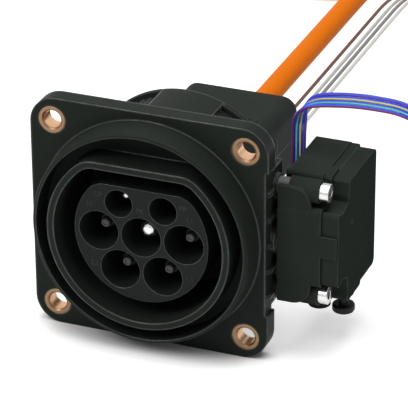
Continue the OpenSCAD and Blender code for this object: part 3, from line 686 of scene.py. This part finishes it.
@dataclass
class Cord:
    """One free cord as a swept tube, with a stripe if it has one.

    Attributes:
        name: Name of the piece.
        route: Its line from the exit to the start of its coil.
        coil: The coil that takes up the rest.
        length: Real length, in metres.
        diameter: Diameter, in metres.
        nodes: The solids that it stands for.
        slot: The record's material slot; not used.
        jacket: Finish of the insulation.
        stripe: Finish of a lengthwise stripe, or None.
        stripe_side: Direction to which the stripe faces at the exit.
        stripe_reach: Faces that the stripe takes up on each side of its middle one.
        sides: Number of faces round the tube.
        stiffness: How stiff the cord is; not used.
        ring_share: Distance between rings, as a share of the diameter.
        ring_least: Least distance between rings, in metres.
        core_share: Diameter of the copper at the cut end, as a share of the cord's.
        sharp_angle: Angle from which an edge is shaded sharp, in degrees.
    """

    name: str
    route: list[Vector]
    coil: FloorCoil
    length: float
    diameter: float
    nodes: tuple[str, ...]
    slot: str
    jacket: Finish
    stripe: Finish | None = None
    stripe_side: Point = (0.0, 0.0, 1.0)
    stripe_reach: int = 1
    sides: int = 16
    stiffness: Stiffness = Stiffness.LIMP
    ring_share: float = 0.28
    ring_least: float = 0.7 * MM
    core_share: float = 0.55
    sharp_angle: float = 50.0

    def build(self) -> bpy.types.Object:
        """Returns:
            The cord's object.
        """
        step = max(self.ring_share * self.diameter, self.ring_least)
        line = smooth_line(self.route, step)
        rest = self.length - path_length(line)
        line += self.coil.points(line[-1].z, rest, step)
        mesh = bpy.data.meshes.new(self.name)
        self.sweep(mesh, line)
        mesh.materials.append(self.jacket.material())
        mesh.materials.append((self.stripe or self.jacket).material())
        mesh.materials.append(Finishes.COPPER.material())
        cord = bpy.data.objects.new(self.name, mesh)
        bpy.context.scene.collection.objects.link(cord)
        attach(cord, ROOT_BODY)
        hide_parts(*self.nodes)
        LOG.info("%s: %.3f m, %d rings", self.name, path_length(line), len(line))
        return cord

    def face_kind(self, k: int) -> CordFace:
        """Returns the kind of the face at a place round the tube, counted from the stripe's middle."""
        striped = self.stripe is not None and min(k, self.sides - k) <= self.stripe_reach
        return CordFace.STRIPE if striped else CordFace.JACKET

    def sweep(self, mesh: bpy.types.Mesh, line: Sequence[Vector]) -> None:
        """Sweeps the tube along a line, with closed ends and a copper core at its cut end.

        Args:
            mesh: The mesh to fill.
            line: The points that the tube follows.
        """
        radius = self.diameter / 2
        side = Vector(self.stripe_side)
        vertices: list[Vector] = []
        faces: list[tuple[int, ...]] = []
        kinds: list[CordFace] = []
        n = self.sides
        for i, point in enumerate(line):
            ahead = (line[min(i + 1, len(line) - 1)] - line[max(i - 1, 0)]).normalized()
            side = (side - ahead * side.dot(ahead)).normalized()
            across = ahead.cross(side)
            for k in range(n):
                angle = math.tau * (k - 0.5) / n
                vertices.append(point + (side * math.cos(angle) + across * math.sin(angle)) * radius)
        for i in range(len(line) - 1):
            for k in range(n):
                a, b = i * n + k, i * n + (k + 1) % n
                faces.append((a, b, b + n, a + n))
                kinds.append(self.face_kind(k))
        last = (len(line) - 1) * n
        faces.append(tuple(range(n - 1, -1, -1)))
        kinds.append(CordFace.JACKET)
        inner = len(vertices)
        vertices += [line[-1].lerp(vertices[last + k], self.core_share) for k in range(n)]
        for k in range(n):
            faces.append((last + k, last + (k + 1) % n, inner + (k + 1) % n, inner + k))
            kinds.append(CordFace.JACKET)
        faces.append(tuple(range(inner, inner + n)))
        kinds.append(CordFace.CORE)
        mesh.from_pydata([tuple(v) for v in vertices], [], faces)
        mesh.polygons.foreach_set("material_index", [kind.value for kind in kinds])
        mesh.shade_smooth()
        mesh.set_sharp_from_angle(angle=math.radians(self.sharp_angle))


class SignalWire(Enum):
    """The signal wires from the left, with the colour of their insulation, linear."""

    BROWN = (0.16, 0.06, 0.035)
    PALE_GREY = (0.56, 0.55, 0.53)
    GREY = (0.24, 0.24, 0.25)
    WHITE = (0.72, 0.7, 0.66)


class LeadStripe(Enum):
    """The actuator leads across their flat group, with the colour of their stripe, linear."""

    VIOLET = (0.16, 0.09, 0.55)
    YELLOW = (1.0, 0.92, 0.1)
    GREEN = (0.2, 0.9, 0.55)
    RED = (0.36, 0.05, 0.05)


@dataclass(frozen=True)
class CableExits:
    """The main cable, the signal wires and the actuator leads, with routes in millimetres.

    Attributes:
        cable_route: Y and Z of the main cable's line in the part's middle plane.
        cable_length: Length of the main cable, in metres.
        cable_diameter: Diameter of the main cable, in metres.
        cable_coil: Coil of the main cable.
        signal_route: Y and Z of the signal wires' line, and the share by which they have drawn together.
        signal_x: X of each signal wire at its exit, in millimetres.
        signal_coil_x: X at which the signal wires have drawn together, in millimetres.
        signal_parted: Share at which they lie fully one above the other.
        signal_pitch: Distance between signal wires that have drawn together, in millimetres.
        signal_length: Length of a signal wire, in metres.
        signal_diameter: Diameter of a signal wire, in metres.
        signal_coil: Coil of the signal wires.
        lead_route: X and Z of the middle of the leads, and the turn of their flat group in degrees.
        lead_y: Y of the middle of the leads, in millimetres.
        lead_pitch: Distance between leads, in millimetres.
        lead_length: Length of a lead, in metres.
        lead_diameter: Diameter of a lead, in metres.
        lead_coil: Coil of the leads.
        lead_blue: Colour of the leads' insulation, linear.
    """

    cable_route: tuple[tuple[float, float], ...] = (
        (95, 0), (120, 0), (145, 0), (170, 0), (195, 0), (218, -0.6), (236, -3.6), (252, -8.8),
        (266, -15), (280, -21.8), (294, -28), (306, -32.2), (318, -34.6), (330, -35.2),
    )
    cable_length: float = 0.78
    cable_diameter: float = 8 * MM
    cable_coil: FloorCoil = FloorCoil(
        centre=(-50 * MM, 330 * MM), radius=50 * MM, pitch=8.3 * MM, turning=Turning.AGAINST_CLOCK,
        start=0,
    )
    signal_route: tuple[Point, ...] = (
        (82.5, -3, 0), (100, -3, 0), (118, -3, 0), (136, -3, 0), (154, -3, 0), (172, -3, 0), (190, -3, 0),
        (207, -3.4, 0), (223, -6, 0.05), (239, -11.6, 0.2), (255, -18.8, 0.4), (271, -25.8, 0.6),
        (287, -31.8, 0.8), (302, -35.4, 0.95), (318, -36.4, 1),
    )
    signal_x: tuple[float, ...] = (9.8, 12.8, 15, 17.2)
    signal_coil_x: float = 13.0
    signal_parted: float = 0.5
    signal_pitch: float = 1.4
    signal_length: float = 0.48
    signal_diameter: float = 1.3 * MM
    signal_coil: FloorCoil = FloorCoil(
        centre=(24 * MM, 318 * MM), radius=11 * MM, pitch=signal_pitch * MM, turning=Turning.WITH_CLOCK,
        start=180,
    )
    lead_route: tuple[Point, ...] = (
        (37.6, 13, 0), (37.6, 19, 0), (37.6, 25, 6), (37.7, 27.5, 20), (38, 30, 42), (38.6, 32.2, 66),
        (39.6, 34.2, 90), (41.1, 35.6, 110), (43, 36.6, 126), (45.4, 37.3, 138), (48, 37.8, 146),
        (55, 38.7, 154), (63, 39, 156), (71.5, 38.4, 160), (79, 35.4, 166), (85, 29.8, 174),
        (88.6, 22, 180), (90, 11, 180), (90, -2, 180), (90.4, -16, 180), (92.4, -29.2, 180),
        (97, -35, 180), (104, -36.6, 180),
    )
    lead_y: float = 34.0
    lead_pitch: float = 1.22
    lead_length: float = 0.3
    lead_diameter: float = 1.2 * MM
    lead_coil: FloorCoil = FloorCoil(
        centre=(104 * MM, 43.2 * MM), radius=9.2 * MM, pitch=1.3 * MM, turning=Turning.AGAINST_CLOCK,
        start=-90,
    )
    lead_blue: Colour = (0.035, 0.075, 0.8)

    def build(self) -> list[bpy.types.Object]:
        """Makes every cord.

        Returns:
            The cords.
        """
        cords = [self.main_cable()]
        cords += [self.signal_wire(i, wire) for i, wire in enumerate(SignalWire)]
        cords += [self.lead(i, stripe) for i, stripe in enumerate(LeadStripe)]
        return [cord.build() for cord in cords]

    def main_cable(self) -> Cord:
        """Returns the orange cable behind the gland."""
        return Cord(
            name="orange_cable", route=scaled((0, y, z) for y, z in self.cable_route),
            coil=self.cable_coil, length=self.cable_length, diameter=self.cable_diameter,
            nodes=("main_cable", "main_cable_coil"), slot="cable_jacket", jacket=Finishes.CABLE, sides=32,
            stiffness=Stiffness.MEDIUM,
        )

    def signal_wire(self, index: int, wire: SignalWire) -> Cord:
        """Makes one signal wire.

        Args:
            index: Its place in the row, from the left.
            wire: Which wire it is.

        Returns:
            The wire.
        """
        colour = wire.name.lower()
        x = self.signal_x[index]
        layer = (index - (len(SignalWire) - 1) / 2) * self.signal_pitch
        route = [
            (
                x * (1 - share) + self.signal_coil_x * share,
                y,
                z + layer * min(1, share / self.signal_parted),
            )
            for y, z, share in self.signal_route
        ]
        return Cord(
            name=f"signal_wire_{colour}", route=scaled(route), coil=self.signal_coil,
            length=self.signal_length, diameter=self.signal_diameter,
            nodes=("signal_wires", "signal_coil"), slot="wire_jacket",
            jacket=Finishes.insulation(colour, wire.value),
        )

    def lead(self, index: int, stripe: LeadStripe) -> Cord:
        """Makes one actuator lead with a stripe.

        Args:
            index: Its place across the flat group.
            stripe: Which lead it is, by its stripe.

        Returns:
            The lead.
        """
        colour = stripe.name.lower()
        middle = [Vector((x, self.lead_y, z)) for x, z, _ in self.lead_route]
        offset = (index - (len(LeadStripe) - 1) / 2) * self.lead_pitch
        route = []
        for i, point in enumerate(middle):
            ahead = (middle[min(i + 1, len(middle) - 1)] - middle[max(i - 1, 0)]).normalized()
            twist = math.radians(self.lead_route[i][2])
            level = Vector((-ahead.z, 0.0, ahead.x)) * math.cos(twist)
            turned = Vector((0.0, -math.sin(twist), 0.0))
            route.append(point + (level + turned) * offset)
        return Cord(
            name=f"actuator_lead_{colour}", route=scaled(route), coil=self.lead_coil,
            length=self.lead_length, diameter=self.lead_diameter, nodes=("actuator_leads", "lead_coil"),
            slot="lead_jacket", jacket=Finishes.insulation("blue", self.lead_blue),
            stripe=Finishes.insulation(f"stripe_{colour}", stripe.value), stripe_side=(0.0, -1.0, 0.0),
            sides=20,
        )


class Terminal(Enum):
    """Generic terminal letters, with X and Z of each mark's middle, in millimetres."""

    CP = (-14.4, 12.7)
    N = (-17.4, 8.8)
    PE = (-0.2, 9.1)
    PP = (14.2, 12.6)
    L1 = (16.7, 9.1)
    L2 = (-15.9, -11.8)
    L3 = (16.5, -11.8)


@dataclass(frozen=True)
class ContactMarks:
    """The raised terminal letters beside the sockets.

    Attributes:
        face_y: Y of the carrier's front face, in millimetres.
        height: Size of the letters, in millimetres.
        thickness: Thickness of the letters, in millimetres.
        proud: Share of the thickness by which a mark's middle stands off the face.
    """

    face_y: float = -6.6
    height: float = 2.5
    thickness: float = 0.1
    proud: float = 0.4

    def build(self) -> list[bpy.types.Object]:
        """Makes one raised mark for each contact.

        Returns:
            The marks.
        """
        return [self.mark(terminal) for terminal in Terminal]

    def letters(self, terminal: Terminal) -> bpy.types.Mesh:
        """Draws the letters of one mark as a mesh.

        Args:
            terminal: Which mark it is.

        Returns:
            The mesh, lying flat at the origin.
        """
        curve = bpy.data.curves.new(f"mark_{terminal.name}", "FONT")
        curve.body = terminal.name
        curve.size = self.height * MM
        curve.extrude = self.thickness / 2 * MM
        curve.align_x = "CENTER"
        curve.align_y = "CENTER"
        drawn = bpy.data.objects.new(f"drawn_{terminal.name}", curve)
        bpy.context.scene.collection.objects.link(drawn)
        shown = drawn.evaluated_get(bpy.context.evaluated_depsgraph_get())
        mesh = bpy.data.meshes.new_from_object(shown)
        bpy.data.objects.remove(drawn)
        return mesh

    def mark(self, terminal: Terminal) -> bpy.types.Object:
        """Makes, places and dresses one mark.

        Args:
            terminal: Which mark it is.

        Returns:
            The mark's object.
        """
        x, z = terminal.value
        mesh = self.letters(terminal)
        mesh.transform(Matrix.Rotation(math.radians(90), 4, "X"))
        mesh.transform(Matrix.Translation(Vector((x, self.face_y - self.thickness * self.proud, z)) * MM))
        mesh.materials.clear()
        mesh.materials.append(Finishes.MARKING.material())
        mark = bpy.data.objects.new(f"contact_mark_{terminal.name}", mesh)
        bpy.context.scene.collection.objects.link(mark)
        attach(mark, ROOT_BODY)
        LOG.info("mark %s", terminal.name)
        return mark


@dataclass(frozen=True)
class InletAssembly:
    """The rigid pieces: solids that keep their own shape and get their finish.

    Attributes:
        own_finish: Nodes that wear a finish of their own and not their slot's, with that finish; the
            power pins wear a painted-shade copy of the pin metal.
    """

    own_finish: tuple[tuple[str, Finish], ...] = (
        ("power_pins", Finishes.PAINTED_SHADE_PIN),
        ("spacer_sleeves", Finishes.SLEEVE),
    )

    def build(self, frame: dict) -> None:
        """Dresses every solid of the part.
        """
        slots = {part["node"]: part["material_slot"] for part in frame["record"]["subparts"]}
        own = dict(self.own_finish)
        for name, solid in frame["nodes"].items():
            finish = own.get(name, Finishes.BY_SLOT.get(slots[name]))
            if finish is None:
                continue
            solid.data.materials.clear()
            solid.data.materials.append(finish.material())
            LOG.info("dressed %s in %s", name, finish.name)


@dataclass(frozen=True)
class SoftBox:
    """One large soft lamp.

    Attributes:
        name: The lamp's name.
        place: Where it stands, in metres.
        aim: The point that it faces, in metres.
        size: Width and height, in metres.
        power: Power in watts.
    """

    name: str
    place: Point
    aim: Point
    size: tuple[float, float]
    power: float

    def build(self) -> bpy.types.Object:
        """Makes the lamp.

        Returns:
            The lamp's object.
        """
        data = bpy.data.lights.new(self.name, "AREA")
        data.shape = "RECTANGLE"
        data.size, data.size_y = self.size
        data.energy = self.power
        lamp = bpy.data.objects.new(self.name, data)
        lamp.location = self.place
        lamp.rotation_euler = (Vector(self.aim) - Vector(self.place)).to_track_quat("-Z", "Y").to_euler()
        bpy.context.scene.collection.objects.link(lamp)
        return lamp


@dataclass(frozen=True)
class Studio:
    """Pale floor, white surroundings and soft lamps.

    Attributes:
        floor_colour: Colour of the floor, linear.
        floor_reach: Distance from the middle to the floor's sides, in metres.
        floor_lift: Light that is added where the floor is seen clear of the part.
        painted_shadow_reach: Distance within which less light is added, a painted shadow round the part,
            in metres.
        painted_shadow_full: Open share of the floor at which nothing is added, where the painted shadow
            is darkest.
        painted_shadow_clear: Open share of the floor at which all of it is added, where the painted
            shadow ends.
        world_level: Strength of the surroundings where they light.
        lamps: The lamps.
    """

    floor_colour: Colour = (0.86, 0.86, 0.86)
    floor_reach: float = 6.0
    floor_lift: float = 0.54
    painted_shadow_reach: float = 16 * MM
    painted_shadow_full: float = 0.35
    painted_shadow_clear: float = 0.8
    world_level: float = 0.3
    lamps: tuple[SoftBox, ...] = (
        SoftBox(
            "key_softbox", place=(-0.55, -0.75, 0.95), aim=(0.02, 0.02, 0.0), size=(0.7, 0.7), power=6.5,
        ),
        SoftBox(
            "top_softbox", place=(0.05, 0.12, 1.2), aim=(0.02, 0.03, 0.0), size=(0.8, 0.8), power=9.0,
        ),
        SoftBox(
            "side_softbox", place=(0.95, -0.35, 0.45), aim=(0.03, 0.02, 0.0), size=(0.5, 0.7), power=0.5,
        ),
    )

    def build(self) -> None:
        """Makes the floor, the world and the lamps."""
        bpy.context.scene.view_settings.view_transform = "Standard"
        self.floor()
        self.world()
        for lamp in self.lamps:
            lamp.build()
            LOG.info("lamp %s", lamp.name)

    @staticmethod
    def seen_ray(tree: bpy.types.NodeTree) -> Socket:
        """Adds the test for rays that show the surroundings.

        Args:
            tree: The node tree to add it to.

        Returns:
            A socket that is 1 for camera, glossy and transmission rays.
        """
        path = tree.nodes.new("ShaderNodeLightPath")
        total = path.outputs["Is Camera Ray"]
        for name in ("Is Glossy Ray", "Is Transmission Ray"):
            largest = tree.nodes.new("ShaderNodeMath")
            largest.operation = "MAXIMUM"
            tree.links.new(total, largest.inputs[0])
            tree.links.new(path.outputs[name], largest.inputs[1])
            total = largest.outputs["Value"]
        return total

    def floor(self) -> None:
        """Makes the pale floor, which keeps the shadow that the lamps cast and adds a painted shadow
        round the part.
        """
        reach = self.floor_reach
        mesh = bpy.data.meshes.new("studio_floor")
        corners = [(-reach, -reach), (reach, -reach), (reach, reach), (-reach, reach)]
        mesh.from_pydata([(x, y, FLOOR_Z) for x, y in corners], [], [(0, 1, 2, 3)])
        floor = bpy.data.objects.new("studio_floor", mesh)
        bpy.context.scene.collection.objects.link(floor)
        graph = NodeGraph("studio_floor")
        matt = graph.add("ShaderNodeBsdfDiffuse", {"Color": (*self.floor_colour, 1.0)})
        # Painted shadow: ambient occlusion holds back the added light near the part.
        near = graph.add("ShaderNodeAmbientOcclusion", {"Distance": self.painted_shadow_reach}, samples=16)
        lift = graph.mapped(near.outputs["AO"], self.painted_shadow_full, self.painted_shadow_clear, high=self.floor_lift)
        glow = graph.add("ShaderNodeEmission")
        graph.link(lift, glow.inputs["Strength"])
        both = graph.add("ShaderNodeAddShader")
        pick = graph.add("ShaderNodeMixShader")
        graph.link(matt.outputs["BSDF"], both.inputs[0])
        graph.link(glow.outputs["Emission"], both.inputs[1])
        graph.link(self.seen_ray(graph.tree), pick.inputs["Fac"])
        graph.link(matt.outputs["BSDF"], pick.inputs[1])
        graph.link(both.outputs["Shader"], pick.inputs[2])
        graph.link(pick.outputs["Shader"], graph.output.inputs["Surface"])
        mesh.materials.append(graph.material)

    def world(self) -> None:
        """Makes the even surroundings: white where they are seen, softer where they light."""
        world = bpy.data.worlds.new("studio_world")
        world.use_nodes = True
        tree = world.node_tree
        tree.nodes.clear()
        output = tree.nodes.new("ShaderNodeOutputWorld")
        background = tree.nodes.new("ShaderNodeBackground")
        level = tree.nodes.new("ShaderNodeMapRange")
        level.inputs["To Min"].default_value = self.world_level
        level.inputs["To Max"].default_value = 1.0
        tree.links.new(self.seen_ray(tree), level.inputs["Value"])
        tree.links.new(level.outputs["Result"], background.inputs["Strength"])
        tree.links.new(background.outputs["Background"], output.inputs["Surface"])
        bpy.context.scene.world = world


def main() -> None:
    """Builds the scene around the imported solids."""
    logging.basicConfig(level=logging.INFO, format="%(message)s")
    for item in list(bpy.data.objects):
        bpy.data.objects.remove(item)
    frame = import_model()
    PhotoView().build()
    CableExits().build()
    InletAssembly().build(frame)
    ContactMarks().build()
    Studio().build()


if __name__ == "__main__":
    main()
